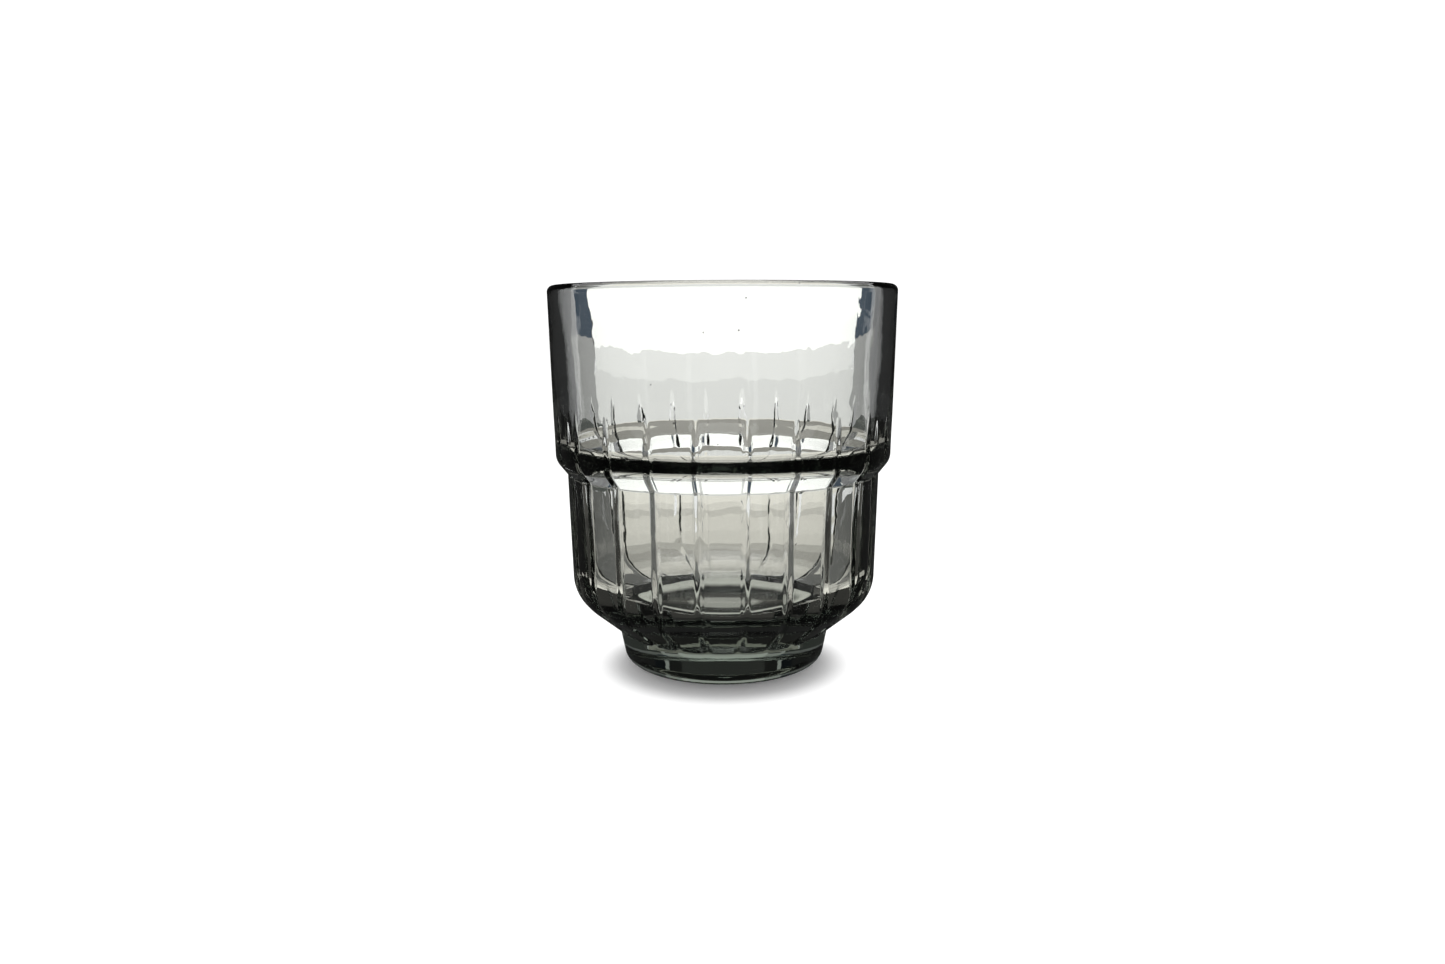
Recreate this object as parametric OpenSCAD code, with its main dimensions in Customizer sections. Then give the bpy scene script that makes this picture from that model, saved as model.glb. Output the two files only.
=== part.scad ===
// Stacking whiskey tumbler in pressed glass.
// Millimetres, +Z up. The origin is the centre of the face the glass stands on.
// The whole glass leaves the mould in one piece, so there is one node.

/* [Overall] */
// Height from the table to the top of the lip
height = 96; // [88:1:110]
// Widest diameter, at the lip
rim_d = 87; // [84:1:96]

/* [Upper band] */
// Diameter of the plain band just above the shoulder
band_low_d = 84.9; // [82:0.1:86]
// Height of the shoulder's upper edge, before rounding
shoulder_top_z = 53.2; // [52:0.1:58]
// Rounding of the shoulder's upper edge
shoulder_r = 4; // [1:0.5:5]

/* [Lower body] */
// Diameter just below the shoulder
waist_d = 79.2; // [76:0.1:80]
// Height of the shoulder's lower edge
shoulder_low_z = 49.6; // [46:0.1:50]
// Rounding of the shoulder's lower edge
waist_r = 1; // [0.4:0.2:1.6]
// Diameter of the body where it turns in towards the foot
heel_d = 77.4; // [72:0.1:78]
// Height where the body turns in towards the foot
heel_z = 18.5; // [17:0.5:22]
// Rounding where the body turns in towards the foot
heel_r = 10.5; // [4:0.5:12]

/* [Foot] */
// Diameter of the foot where it meets the body
foot_top_d = 54.4; // [48:0.2:58]
// Height of the foot
foot_h = 9; // [7:0.5:11]
// Diameter of the foot at the table, before rounding
foot_low_d = 50.8; // [46:0.2:54]
// Rounding of the foot's lower edge
foot_edge_r = 3.4; // [1:0.2:4]
// Diameter of the hollow under the foot
hollow_d = 36; // [20:1:40]
// Depth of the hollow under the foot
hollow_h = 1.6; // [0.6:0.2:2.4]

/* [Inside] */
// Inside diameter at the lip
mouth_d = 81; // [79:0.1:82]
// Inside diameter at the top of the inner ledge
ledge_top_d = 76.8; // [75:0.1:79]
// Height of the top of the inner ledge
ledge_top_z = 57.2; // [56:0.1:62]
// Inside diameter at the bottom of the inner ledge
ledge_low_d = 71.2; // [69:0.1:75]
// Height of the bottom of the inner ledge
ledge_low_z = 53.8; // [50:0.1:55.5]
// Rounding of the ledge's two edges
ledge_r = 1.6; // [0.6:0.2:2.4]
// Inside diameter at the floor, before rounding
floor_d = 67.6; // [62:0.1:71]
// Height of the inside floor above the table
floor_z = 17; // [14:0.5:20]
// Rounding between the inside wall and the floor
floor_r = 9; // [3:0.5:14]

/* [Lip] */
// Rounding of the lip's outer edge
lip_out_r = 1.6; // [0.6:0.1:1.8]
// Rounding of the lip's inner edge
lip_in_r = 1; // [0.4:0.1:1.2]

/* [Grooves] */
// Number of grooves around the glass
groove_count = 24; // [12:1:30]
// Width of a groove at the waist
groove_w = 1.6; // [1:0.1:2.4]
// Depth of a groove
groove_depth = 0.4; // [0.2:0.02:0.5]
// Height of the grooves' upper tips
groove_top_z = 64.6; // [62:0.2:72]
// Length over which a groove fades out at its tip
groove_fade = 3.6; // [2:0.2:6]

/* [Hidden] */
$fn = 96;
glass = [0.36, 0.37, 0.36, 0.62];

// angle between two grooves
pitch = 360 / groove_count;
// angle that one groove takes, so that it has its width at the waist
groove_turn = groove_w / waist_d * 360 / PI;

function unit(v) = v / norm(v);
function corner_angle(p, v, n) = acos(unit(p - v) * unit(n - v));
function reach(p, v, n, r) = r / tan(corner_angle(p, v, n) / 2);
function toward(v, q, d) = v + unit(q - v) * d;
function centre(p, v, n, r) =
    v + unit(unit(p - v) + unit(n - v)) * r / sin(corner_angle(p, v, n) / 2);
function turn(p, v, n) = cross(v - p, n - v);
function before(pts, i) = pts[(i + len(pts) - 1) % len(pts)];
function after(pts, i) = pts[(i + 1) % len(pts)];
function corner_points(p, v, n, r) = r == 0
    ? [v]
    : [toward(v, p, reach(p, v, n, r)), toward(v, n, reach(p, v, n, r))];

// a counter-clockwise outline whose corners are rounded by true arcs
module rounded(pts, radii) {
    difference() {
        union() {
            polygon([for (i = [0:len(pts) - 1])
                each corner_points(before(pts, i), pts[i], after(pts, i), radii[i])]);
            corner_discs(pts, radii, 1);
        }
        corner_discs(pts, radii, -1);
    }
}

module corner_discs(pts, radii, side) {
    for (i = [0:len(pts) - 1])
        if (radii[i] > 0 && turn(before(pts, i), pts[i], after(pts, i)) * side > 0)
            translate(centre(before(pts, i), pts[i], after(pts, i), radii[i]))
                circle(radii[i]);
}

// corners of the outer surface, from the foot up
heel_foot = [foot_top_d / 2, foot_h];
heel = [heel_d / 2, heel_z];
waist = [waist_d / 2, shoulder_low_z];
shoulder = [band_low_d / 2, shoulder_top_z];
rim = [rim_d / 2, height];

// unit vector that points out of the glass across a line going up
function outward(a, b) = [unit(b - a)[1], -unit(b - a)[0]];
// a corner of the outer surface moved in by the depth of a groove
function inset(v, out_a, out_b) =
    v - (out_a + out_b) * groove_depth / (1 + out_a * out_b);

module body_blank() {
    rotate_extrude()
        rounded(
            [[0, foot_h], heel_foot, heel, waist, shoulder, rim, [0, height]],
            [0, 0, heel_r, waist_r, shoulder_r, lip_out_r, 0]);
}

module foot_blank() {
    rotate_extrude()
        rounded(
            [[0, 0], [foot_low_d / 2, 0], heel_foot, [0, foot_h]],
            [0, foot_edge_r, 0, 0]);
}

module inside() {
    mouth = [mouth_d / 2, height];
    rotate_extrude()
        rounded(
            [[0, floor_z], [floor_d / 2, floor_z], [ledge_low_d / 2, ledge_low_z],
             [ledge_top_d / 2, ledge_top_z], mouth, [mouth_d / 2 + 6, height],
             [mouth_d / 2 + 6, height + 2], [0, height + 2]],
            [0, floor_r, ledge_r, ledge_r, lip_in_r, 0, 0, 0]);
}

module hollow() {
    rotate_extrude()
        polygon([[0, -1], [hollow_d / 2, -1], [hollow_d / 2, 0],
                 [hollow_d / 2 - 1.6 * hollow_h, hollow_h], [0, hollow_h]]);
}

// section of the space that one groove takes, from the glass outwards
module groove_section() {
    cone_out = outward(heel_foot, heel);
    body_out = outward(heel, waist);
    step_out = outward(waist, shoulder);
    band_out = outward(shoulder, rim);
    full = toward(shoulder, rim, groove_top_z - groove_fade - shoulder_top_z);
    tip = toward(shoulder, rim, groove_top_z - shoulder_top_z);
    rounded(
        [tip,
         full - band_out * groove_depth,
         inset(shoulder, step_out, band_out),
         inset(waist, body_out, step_out),
         inset(heel, cone_out, body_out),
         heel_foot - cone_out * groove_depth,
         heel_foot + cone_out * 4,
         heel + [8, -2],
         shoulder + [4, 0],
         tip + band_out * 3],
        [0, 0, shoulder_r - groove_depth, waist_r + groove_depth, heel_r - groove_depth,
         0, 0, 0, 0, 0]);
}

module groove() {
    rotate([0, 0, -groove_turn / 2])
        rotate_extrude(angle = groove_turn)
            groove_section();
}

module tumbler_glass() {
    color(glass)
        difference() {
            union() {
                difference() {
                    body_blank();
                    for (k = [0:groove_count - 1])
                        rotate([0, 0, (k + 0.5) * pitch - 90])
                            groove();
                }
                foot_blank();
            }
            inside();
            hollow();
        }
}

// Part to show

tumbler_glass();
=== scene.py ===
import math

import bpy
import numpy as np
from mathutils import Matrix, Vector


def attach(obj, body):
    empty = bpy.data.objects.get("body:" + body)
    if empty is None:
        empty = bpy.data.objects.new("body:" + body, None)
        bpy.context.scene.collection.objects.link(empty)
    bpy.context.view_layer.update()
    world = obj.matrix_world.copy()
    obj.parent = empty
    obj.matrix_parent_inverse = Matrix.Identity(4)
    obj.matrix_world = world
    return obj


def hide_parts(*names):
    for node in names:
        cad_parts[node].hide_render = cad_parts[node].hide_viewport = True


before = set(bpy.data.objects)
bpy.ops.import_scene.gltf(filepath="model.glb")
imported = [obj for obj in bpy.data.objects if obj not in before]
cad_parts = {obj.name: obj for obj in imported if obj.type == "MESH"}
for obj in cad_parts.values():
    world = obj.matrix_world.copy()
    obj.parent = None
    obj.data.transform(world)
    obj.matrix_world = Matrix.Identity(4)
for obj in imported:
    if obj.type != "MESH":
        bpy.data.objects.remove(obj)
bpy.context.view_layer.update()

MM = 0.001
FULL_TURN = 2 * math.pi

# ---------------------------------------------------------------- section of the glass, in mm

# _r is a radius, _z and _h are heights, _f and _g round a corner; lip_out and lip_in round the lip
S = dict(
    height=96.0, rim_r=43.5, band_low_r=42.45, shoulder_z=53.2, shoulder_f=4.0,
    waist_r=39.6, waist_z=49.6, waist_f=1.0, heel_r=38.7, heel_z=18.5, heel_f=10.5,
    foot_top_r=27.2, foot_h=9.0, foot_low_r=25.4, foot_f=3.4, hollow_r=18.0, hollow_h=1.6,
    mouth_r=40.5, ledge_top_r=38.4, ledge_top_z=57.4, ledge_low_r=35.6, ledge_low_z=53.7,
    ledge_f=3.2, ledge_g=1.2, floor_r=33.8, floor_z=17.0, floor_f=9.0, lip_out=1.6, lip_in=1.0,
)
RING_STEP = 1.5       # the most that two rings of the mesh are apart
HOLLOW_SLOPE = 4.5    # width of the sloping edge of the hollow under the foot
LIP_MEET = 1.4        # how far outside the mouth the outer and the inner section meet

GROOVES = 24
GROOVE_W = 2.3
GROOVE_D = 0.50
GROOVE_TOP = 66.2     # height of the upper tips
GROOVE_FADE = 8.0     # length over which a groove fades out at its tip
TIP_SPREAD = 0.45     # share of its width that a groove keeps at its tip
V_ROUND = 0.06        # rounds the bottom of the V; larger is rounder
V_EDGE = 1.03         # with that rounding, ends the V one half width from its middle
BULGE = 0.10          # how far the edges of a panel between two grooves lie below its middle
FOOT_START = 3.0      # the grooves begin this far below the top of the foot
LIP_PLAIN = 3.0       # nothing is moved this close to the lip
SIDE_ABOVE = 0.05     # the foot's side counts as ending this far above its top
CORNER_ABOVE = 0.6    # and the corner to the cone this far
UPRIGHT = 0.9         # a direction on the foot's side has at least this much of upright


def unit(v):
    return v / np.linalg.norm(v)


def fillet(p, v, n, r, count):
    """Points of the arc of radius r that rounds the corner v between p and n."""
    a, b = unit(p - v), unit(n - v)
    half = math.acos(np.clip(a @ b, -1, 1)) / 2
    t0, t1 = v + a * r / math.tan(half), v + b * r / math.tan(half)
    c = v + unit(a + b) * r / math.sin(half)
    a0 = math.atan2(*(t0 - c)[::-1])
    turn = (math.atan2(*(t1 - c)[::-1]) - a0 + math.pi) % FULL_TURN - math.pi
    return [c + r * np.array([math.cos(a0 + turn * t), math.sin(a0 + turn * t)])
            for t in np.linspace(0, 1, count)]


def section_path(corners):
    """Samples a section whose corners are (r, z, rounding, arc points)."""
    pts = [np.array(c[:2], float) for c in corners]
    out = [pts[0]]
    for i in range(1, len(pts) - 1):
        if corners[i][2] > 0:
            out += fillet(pts[i - 1], pts[i], pts[i + 1], corners[i][2], corners[i][3])
        else:
            out.append(pts[i])
    out.append(pts[-1])
    dense = [out[0]]
    for a, b in zip(out[:-1], out[1:]):
        n = max(1, math.ceil(np.linalg.norm(b - a) / RING_STEP))
        dense += [a + (b - a) * k / n for k in range(1, n + 1)]
    return np.array(dense)


outer = section_path([
    (0, S["hollow_h"], 0, 0),
    (S["hollow_r"] - HOLLOW_SLOPE, S["hollow_h"], 3.0, 5),
    (S["hollow_r"], 0, 0.8, 5),
    (S["foot_low_r"], 0, S["foot_f"], 12),
    (S["foot_top_r"], S["foot_h"], 0.5, 7),
    (S["heel_r"], S["heel_z"], S["heel_f"], 18),
    (S["waist_r"], S["waist_z"], S["waist_f"], 7),
    (S["band_low_r"], S["shoulder_z"], S["shoulder_f"], 12),
    (S["rim_r"], S["height"], S["lip_out"], 12),
    (S["mouth_r"] + LIP_MEET, S["height"], 0, 0),
])
inner = section_path([
    (S["mouth_r"] + LIP_MEET, S["height"], 0, 0),
    (S["mouth_r"], S["height"], S["lip_in"], 10),
    (S["ledge_top_r"], S["ledge_top_z"], S["ledge_f"], 14),
    (S["ledge_low_r"], S["ledge_low_z"], S["ledge_g"], 8),
    (S["floor_r"], S["floor_z"], S["floor_f"], 18),
    (0, S["floor_z"], 0, 0),
])

# ---------------------------------------------------------------- mesh of the glass

# Each sector holds one groove with close columns, and its panel with wider ones.
CLOSE_COLUMNS, PANEL_COLUMNS = 8, 5  # steps in each half of a groove and of a panel
CLOSE_REACH = 0.75    # the close columns reach this many groove widths to each side
CLOSE_SHARE = 0.55    # but take no more than this share of half a sector
LEAST_R = 4.0         # nearer to the axis the columns keep their azimuths
SECTOR = math.pi / GROOVES  # half the angle between two grooves
FIRST_GROOVE = SECTOR - math.pi / 2
close = np.linspace(-1, 1, 2 * CLOSE_COLUMNS + 1)


def smooth(t):
    t = np.clip(t, 0, 1)
    return t * t * (3 - 2 * t)


def columns(r, spread=1.0):
    """The azimuths of the grid's columns at radius r. With each, from 0 to 1: how deep the
    groove is there, and how far the panel has risen. The groove is spread times its width."""
    r = max(r, LEAST_R)
    edge = min(CLOSE_REACH * GROOVE_W / r, CLOSE_SHARE * SECTOR)
    panel = np.arange(1, 2 * PANEL_COLUMNS) / (2 * PANEL_COLUMNS)
    rel = np.concatenate([close * edge, edge + (2 * SECTOR - 2 * edge) * panel])
    u = np.abs(rel) / (0.5 * GROOVE_W * spread / r)
    cut = (V_EDGE - np.sqrt(u ** 2 + V_ROUND)) / (V_EDGE - math.sqrt(V_ROUND))
    side = np.clip(np.minimum(np.abs(rel), 2 * SECTOR - np.abs(rel)) / SECTOR, 0, 1)
    pillow = 1 - (1 - side) ** 2
    a = (FIRST_GROOVE + 2 * SECTOR * np.arange(GROOVES)[:, None] + rel[None]).ravel()
    return a, np.tile(np.clip(cut, 0, 1), GROOVES), np.tile(pillow, GROOVES)


# number of waves round the glass, and radians per unit of z
WAVES = ((2, 0.045), (3, 0.07), (5, 0.11), (7, 0.05), (9, 0.16), (11, 0.21), (14, 0.13),
         (17, 0.29), (23, 0.24))
WAVE_DROP = 0.35      # each wave is weaker than the one before
PHASE_MIX = (12.9898, 78.233, 43.758)  # scatter the phases; nothing depends on their values


def wobble(a, z, seed, scale):
    """A gentle unevenness of pressed glass. The seed sets the phase of each wave."""
    out = np.zeros_like(a)
    for k, (m, w) in enumerate(WAVES):
        phase = math.sin(seed * PHASE_MIX[0] + k * PHASE_MIX[1]) * PHASE_MIX[2]
        lean = 1 if k % 2 else -1
        out = out + np.cos(m * a + w * z * lean + phase) / (1 + WAVE_DROP * k)
    return out * scale


def ring_points(a, r, z):
    return np.stack([r * np.cos(a), r * np.sin(a), z], axis=1)


def outer_rings():
    """The outer surface, with its grooves and panels, from under the foot to the lip."""
    tang = np.gradient(outer, axis=0)
    tang /= np.linalg.norm(tang, axis=1)[:, None]
    inward = np.stack([-tang[:, 1], tang[:, 0]], axis=1)
    foot_dir = unit(np.array([S["foot_top_r"] - S["foot_low_r"], S["foot_h"]]))
    cone_dir = unit(np.array([S["heel_r"] - S["foot_top_r"], S["heel_z"] - S["foot_h"]]))
    rise = foot_dir / abs(np.cross(foot_dir, cone_dir))
    rings = []
    for (r, z), n, t in zip(outer, inward, tang):
        fade = float(smooth(np.array((GROOVE_TOP - z) / GROOVE_FADE)))
        a, cut, pillow = columns(r, TIP_SPREAD + (1 - TIP_SPREAD) * fade)
        depth = np.zeros_like(a)
        move = n
        if (z > S["foot_h"] - FOOT_START and r > S["foot_low_r"] - 1
                and z < S["height"] - LIP_PLAIN):
            if z < S["foot_h"] + SIDE_ABOVE and abs(t[1]) > UPRIGHT:
                # on the foot's side the grooves grow from nothing
                move = rise * smooth(np.array((z - S["foot_h"] + FOOT_START) / FOOT_START))
            elif z < S["foot_h"] + CORNER_ABOVE:  # turns from the foot's side to the cone
                k = np.clip((t[0] - foot_dir[0]) / (cone_dir[0] - foot_dir[0]), 0, 1)
                move = rise * (1 - k) + n * k
            uneven = 1 + wobble(a, 4.1 * z, seed=8.0, scale=0.16)
            depth = GROOVE_D * cut * fade * uneven - BULGE * (pillow - 1) * fade
            depth = depth + fade * wobble(a, 1.7 * z, seed=5.0, scale=0.012)
        rings.append(ring_points(a, r + depth * move[0], z + depth * move[1]))
    return rings


CALM_R = 20           # nearer to the axis the unevenness of the inside dies out


def inner_rings():
    """The inside, from the lip to the middle of the floor."""
    rings = []
    for r, z in inner[1:]:
        a = columns(r)[0]
        w = wobble(a, z, seed=3.0, scale=0.014) * min(1.0, r / CALM_R)
        rings.append(ring_points(a, r + w, np.full_like(a, z)))
    return rings


def new_object(name, mesh):
    obj = bpy.data.objects.new(name, mesh)
    bpy.context.scene.collection.objects.link(obj)
    return obj


def mesh_from_rings(name, rings):
    """A closed mesh. The first and the last ring lie on the axis and become one point each."""
    n = len(rings[0])
    body = rings[1:-1]
    verts = np.concatenate([rings[0].mean(axis=0)[None]] + body + [rings[-1].mean(axis=0)[None]])
    k = np.arange(n)
    nxt = (k + 1) % n
    faces = []
    for i in range(len(body) - 1):
        a = 1 + i * n
        b = a + n
        faces.append(np.stack([a + k, a + nxt, b + nxt, b + k], axis=1))
    quads = [tuple(q) for q in np.concatenate(faces).tolist()]
    last = len(verts) - 1
    start = 1 + (len(body) - 1) * n
    tris = [(0, int(1 + j), int(1 + i)) for i, j in zip(k, nxt)]
    tris += [(last, int(start + i), int(start + j)) for i, j in zip(k, nxt)]
    mesh = bpy.data.meshes.new(name)
    mesh.from_pydata((verts * MM).tolist(), [], quads + tris)
    mesh.update()
    mesh.shade_smooth()
    return new_object(name, mesh)


glass = mesh_from_rings("glass_body", outer_rings() + inner_rings())

# ---------------------------------------------------------------- material of the glass


def new_material(name):
    mat = bpy.data.materials.new(name)
    mat.use_nodes = True
    mat.node_tree.nodes.clear()
    return mat


def add_node(tree, kind, **inputs):
    """A node with values on its own sockets. An underscore in a name stands for a space."""
    node = tree.nodes.new("ShaderNode" + kind)
    for name, value in inputs.items():
        node.inputs[name.replace("_", " ")].default_value = value
    return node


def glass_material():
    mat = new_material("smoke_glass")
    tree = mat.node_tree
    link = tree.links.new
    out = add_node(tree, "OutputMaterial")
    shader = add_node(tree, "BsdfPrincipled", Transmission_Weight=1.0, IOR=1.52)
    link(shader.outputs[0], out.inputs["Surface"])
    smoke = add_node(tree, "VolumeAbsorption", Color=(0.615, 0.640, 0.615, 1), Density=100.0)
    link(smoke.outputs[0], out.inputs["Volume"])
    place = add_node(tree, "TexCoord").outputs["Object"]
    noise = add_node(tree, "TexNoise", Scale=90.0, Detail=3.0)
    link(place, noise.inputs["Vector"])
    # seeds: tiny dark specks in the glass
    seeds = add_node(tree, "TexVoronoi", Scale=105.0)
    link(place, seeds.inputs["Vector"])
    speck = add_node(tree, "MapRange", From_Min=0.018, From_Max=0.034, To_Min=0.12)
    link(seeds.outputs["Distance"], speck.inputs["Value"])
    link(speck.outputs[0], shader.inputs["Base Color"])
    # slightly uneven gloss
    rough = add_node(tree, "MapRange", From_Min=0.45, From_Max=0.8, To_Min=0.0, To_Max=0.03)
    link(noise.outputs["Fac"], rough.inputs["Value"])
    link(rough.outputs[0], shader.inputs["Roughness"])
    bump = add_node(tree, "Bump", Strength=0.25, Distance=0.0002)
    link(noise.outputs["Fac"], bump.inputs["Height"])
    link(bump.outputs[0], shader.inputs["Normal"])
    return mat


glass.data.materials.append(glass_material())
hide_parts("tumbler_glass")
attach(glass, "root")

# ---------------------------------------------------------------- stage, in metres and degrees

WARM = (1.0, 0.97, 0.88)
PALE = (1.0, 1.0, 0.975)
WHITE_PAPER = (0.9, 0.9, 0.9)
GREY_PAPER = (0.2, 0.2, 0.2)

FLOOR_R = 6
FLOOR_Z = -0.00002
UNDER_Z = -0.00001    # the glow under the glass, between the floor and the foot
DARK_Z = 0.0001
FLOOR_GLOW_Z = 0.0002
DISC_POINTS = 96
CARD_STEP = 2.5       # degrees between the points of a card or ring

SIDES = 4             # the surroundings repeat this often, so all sides look alike


def paper_material(name, colour):
    mat = new_material(name)
    out = add_node(mat.node_tree, "OutputMaterial")
    shader = add_node(mat.node_tree, "BsdfDiffuse", Color=(*colour, 1))
    mat.node_tree.links.new(shader.outputs[0], out.inputs["Surface"])
    return mat


def glow_material(name, colour, strength, inner=None):
    """A glow. inner is its strength for light that was reflected inside the glass."""
    mat = new_material(name)
    tree = mat.node_tree
    out = add_node(tree, "OutputMaterial")
    shader = add_node(tree, "Emission", Color=(*colour, 1), Strength=strength)
    if inner is not None:
        path = add_node(tree, "LightPath")
        pick = add_node(tree, "MapRange", To_Min=strength, To_Max=inner)
        tree.links.new(path.outputs["Glossy Depth"], pick.inputs["Value"])
        tree.links.new(pick.outputs[0], shader.inputs["Strength"])
    tree.links.new(shader.outputs[0], out.inputs["Surface"])
    return mat


def stage_mesh(name, verts, faces, mat):
    mesh = bpy.data.meshes.new(name)
    mesh.from_pydata(verts, [], faces)
    mesh.materials.append(mat)
    return new_object(name, mesh)


def disc(name, radius, y, z, mat):
    turns = [FULL_TURN * k / DISC_POINTS for k in range(DISC_POINTS)]
    edge = [(radius * math.cos(a), y + radius * math.sin(a), z) for a in turns]
    return stage_mesh(name, edge, [tuple(range(DISC_POINTS))], mat)


def strip(name, a0, a1, ends, face, mat, mirrored):
    """A strip from azimuth a0 to a1, where 0 is straight behind the glass, that acts on the
    glass alone: seen through it, or mirrored in it. ends are the (radius, height) of its two
    edges, and face the corners of its first face."""
    n = max(2, round(abs(a1 - a0) / CARD_STEP))
    verts = []
    for k in range(n + 1):
        a = math.radians(90 - a0 - (a1 - a0) * k / n)
        verts += [(r * math.cos(a), r * math.sin(a), z) for r, z in ends]
    faces = [tuple(2 * k + corner for corner in face) for k in range(n)]
    obj = stage_mesh(name, verts, faces, mat)
    obj.visible_camera = False
    obj.visible_diffuse = False
    obj.visible_shadow = False
    obj.visible_volume_scatter = False
    obj.visible_transmission = not mirrored
    obj.visible_glossy = mirrored
    return obj


def card(name, a0, a1, z0, z1, radius, colour, strength, inner=None, mirrored=False):
    """An upright curved card."""
    mat = glow_material(name, colour, strength, inner)
    return strip(name, a0, a1, ((radius, z0), (radius, z1)), (0, 2, 3, 1), mat, mirrored)


def ring(name, a0, a1, r0, r1, z, colour, strength, inner=None, mirrored=False):
    """A flat piece on the floor."""
    mat = glow_material(name, colour, strength, inner)
    return strip(name, a0, a1, ((r0, z), (r1, z)), (0, 1, 3, 2), mat, mirrored)


def build_floor():
    floor = disc("floor", FLOOR_R, 0, FLOOR_Z, paper_material("floor_white", WHITE_PAPER))


# radius, y and z of the hidden discs
SHADOW_DISCS = ((0.0262, -0.0005, 0.0030), (0.0290, -0.0050, 0.0085))


def build_contact_shadow():
    """The glass is left out of the light that falls on the floor. Hidden discs give its soft
    contact shadow instead."""
    glass.visible_shadow = False
    glass.visible_diffuse = False
    for k, (radius, y, z) in enumerate(SHADOW_DISCS):
        shade = disc(f"shadow_disc_{k}", radius, y, z, paper_material(f"shade_{k}", GREY_PAPER))
        shade.visible_camera = False
        shade.visible_glossy = False
        shade.visible_transmission = False


UNDER_R = 0.030
# place from the middle to the edge, 0 to 1, and glow there
UNDER_STOPS = ((0.28, 0.90), (0.38, 0.10), (0.63, 0.06), (0.75, 1.55))
UNDER_MIDDLE = (0.85, 0.84, 0.78, 1)
UNDER_EDGE = (1.1, 1.07, 1.0, 1)


def build_under_glass():
    """The light that the base gathers under the glass: soft rings of glow."""
    under = ring("under_glass", 0, 360, 0.0, UNDER_R, UNDER_Z, WARM, 1.0, 0.03)
    tree = under.data.materials[0].node_tree
    link = tree.links.new
    place = add_node(tree, "TexCoord").outputs["Object"]
    dist = add_node(tree, "VectorMath")
    dist.operation = "LENGTH"
    link(place, dist.inputs[0])
    span = add_node(tree, "MapRange", From_Max=UNDER_R)
    link(dist.outputs["Value"], span.inputs["Value"])
    ramp = add_node(tree, "ValToRGB")
    ramp.color_ramp.interpolation = "EASE"
    ramp.color_ramp.elements[0].color = UNDER_MIDDLE
    ramp.color_ramp.elements[1].color = UNDER_EDGE
    for at, v in UNDER_STOPS:
        ramp.color_ramp.elements.new(at).color = (v, 0.98 * v, 0.91 * v, 1)
    link(span.outputs[0], ramp.inputs["Fac"])
    link(ramp.outputs[0], tree.nodes["Emission"].inputs["Color"])


# glowing rings on the floor, seen only through the glass, whose glow is painted light and shade of
# the floor: radii, colour, glow seen straight through the glass, glow after a reflection in it
FLOOR_GLOWS = (
    (0.030, 0.058, WARM, 0.86, 0.06), (0.058, 0.075, WARM, 0.80, 1.3),
    (0.075, 0.084, WARM, 0.64, 1.0), (0.084, 0.095, WARM, 0.52, 0.8),
    (0.095, 0.103, WARM, 0.64, 0.06), (0.103, 0.142, WARM, 0.90, 0.06),
    (0.142, 0.176, WARM, 0.96, 0.06), (0.176, 0.190, WARM, 0.80, 0.1),
    (0.190, 0.205, WARM, 1.02, 0.1), (0.205, 0.310, WARM, 1.18, 0.1),
    (0.310, 0.780, PALE, 1.10, 0.1), (0.780, 1.2, PALE, 1.24, 0.2),
)
FLOOR_GLOW_HALF, FLOOR_GLOW_SPLAY = 0.030, 0.228  # half width at the axis, and its growth with the radius
FLOOR_GLOW_SINE, FLOOR_GLOW_ANGLE = 0.9, 34       # limits of a floor glow ring's half angle

# cards straight behind a side: name, heights, radius, colour, glow, inner glow
PANEL_HALF = 15.8
PANELS = (
    ("panel", 0.050, 0.9, 0.90, PALE, 1.80, 0.15),
    ("panel_low", 0.019, 0.050, 0.90, PALE, 1.7, 0.15),
)
# cards to both sides of them: the same, with two azimuths before the heights
FLANKS = (
    ("gap", 15.8, 22, 0.060, 0.9, 0.92, PALE, 1.15, 0.05),
    ("gap_low", 15.8, 22, 0.0, 0.060, 0.92, PALE, 0.15, 0.05),
    ("edge", 21.5, 27.5, 0.067, 0.6, 0.25, (0.09, 0.12, 0.16), 1.0, 0.2),
    ("edge_low", 21.5, 31, 0.026, 0.067, 0.25, (0.55, 0.55, 0.54), 1.0, 0.05),
    ("edge_foot", 21.5, 45, 0.0, 0.026, 0.25, (0.13, 0.14, 0.13), 1.0, 0.03),
    ("side", 27.5, 31, 0.067, 0.6, 0.25, (0.38, 0.38, 0.39), 1.0, 0.12),
    ("far", 31, 45, 0.026, 0.6, 0.25, (0.50, 0.50, 0.51), 1.0, 0.085),
)
DARK_RING = (0.030, 0.25, DARK_Z, (0.21, 0.21, 0.20), 1.0, 0.03)
DARK_FROM = 28
# a grey band round the glass at the height of the shoulder, which darkens the step
STEP_SHADE = (0.0450, 0.0522, 0.060, WARM, 0.44)


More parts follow.
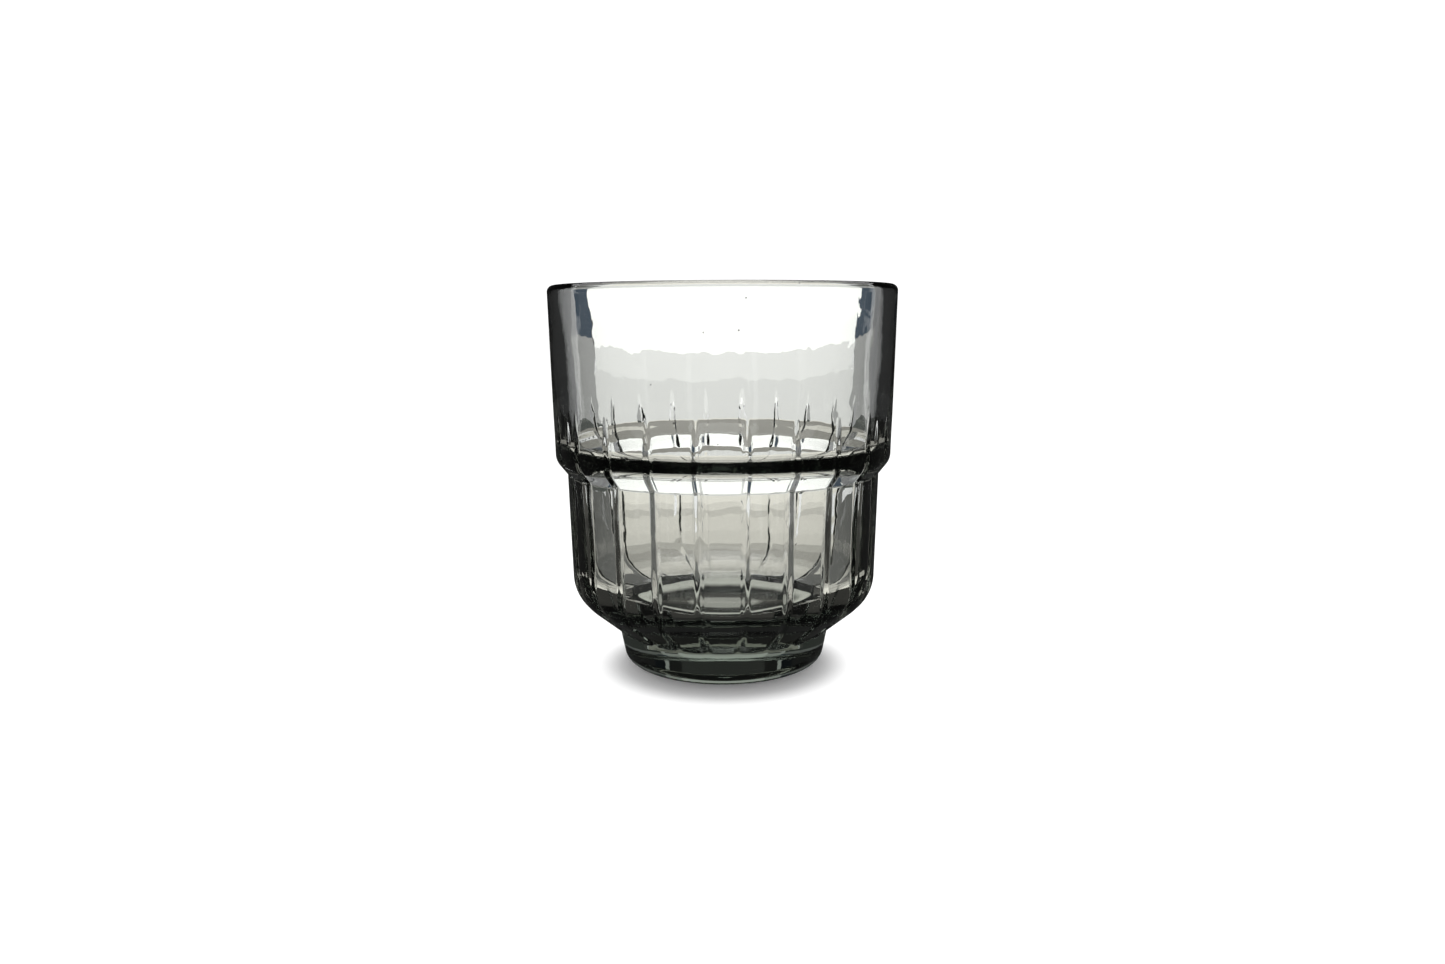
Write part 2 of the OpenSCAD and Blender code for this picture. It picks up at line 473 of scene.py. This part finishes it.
def build_surroundings():
    card("step_shade", 0, 360, *STEP_SHADE)
    for q in range(SIDES):
        c = 360 // SIDES * q
        # glowing floor rings: painted light and shade of the floor, seen through the glass
        for k, (r0, r1, colour, strength, inner_glow) in enumerate(FLOOR_GLOWS):
            sine = min(FLOOR_GLOW_SINE, (FLOOR_GLOW_HALF + FLOOR_GLOW_SPLAY * r0) / r0)
            half = min(math.degrees(math.asin(sine)), FLOOR_GLOW_ANGLE)
            ring(f"paper_{q}_{k}", c - half, c + half, r0, r1, FLOOR_GLOW_Z, colour, strength,
                 inner_glow)
        for name, *rest in PANELS:
            card(f"{name}_{q}", c - PANEL_HALF, c + PANEL_HALF, *rest)
        for side, s in (("l", -1), ("r", 1)):
            for name, a0, a1, *rest in FLANKS:
                card(f"{name}_{side}_{q}", c + s * a0, c + s * a1, *rest)
            ring(f"dark_{side}_{q}", c + s * DARK_FROM, c + s * 45, *DARK_RING)


HOOD_R, HOOD_H = 0.80, 0.55
HOOD_TURN = 45
HOOD_DARK = (0.012, 0.012, 0.012)
HOOD_FLOOR = (0.03, 0.03, 0.03)


def build_hoods():
    """Dark surroundings that the glass mirrors."""
    for k in range(360 // HOOD_TURN):
        card(f"hood_{k}", HOOD_TURN * k, HOOD_TURN * k + HOOD_TURN, 0.0, HOOD_H, HOOD_R,
             HOOD_DARK, 1.0, mirrored=True)
    ring("hood_floor", 0, 360, 0.0, HOOD_R, DARK_Z, HOOD_FLOOR, 1.0, mirrored=True)


def build_light():
    world = bpy.data.worlds.new("studio")
    world.use_nodes = True
    background = world.node_tree.nodes["Background"]
    background.inputs["Color"].default_value = (1, 1, 1, 1)
    background.inputs["Strength"].default_value = 1.15
    bpy.context.scene.world = world
    light = bpy.data.lights.new("top_softbox", "AREA")
    light.shape = "DISK"
    light.size = 1.2
    light.energy = 6.0
    new_object("top_softbox", light).location = (0, 0, 1.3)


build_floor()
build_contact_shadow()
build_under_glass()
build_surroundings()
build_hoods()
build_light()

# ---------------------------------------------------------------- camera

CAMERA_AT = (-0.0002, -0.2670, 0.08857)
CAMERA_TURN = math.radians(0.5)  # round the glass
CAMERA_DOWN = 0.1576             # radians below level
CAMERA_ROLL = -0.0048


def build_camera():
    data = bpy.data.cameras.new("camera")
    data.sensor_width = 36.0
    data.lens = 26.12
    data.clip_start = 0.01
    turn = Matrix.Rotation(CAMERA_TURN, 3, "Z")
    tilt = Matrix.Rotation(math.pi / 2 - CAMERA_DOWN, 3, "X")
    tilt = tilt @ Matrix.Rotation(CAMERA_ROLL, 3, "Z")
    camera = new_object("camera", data)
    camera.location = turn @ Vector(CAMERA_AT)
    camera.rotation_euler = (turn @ tilt).to_euler()
    bpy.context.scene.camera = camera


build_camera()

scene = bpy.context.scene
scene.view_settings.view_transform = "Standard"
# light crosses the wall, the grooves and the base many times
scene.cycles.max_bounces = 32
scene.cycles.transmission_bounces = 28
scene.cycles.glossy_bounces = 12
scene.cycles.transparent_max_bounces = 16
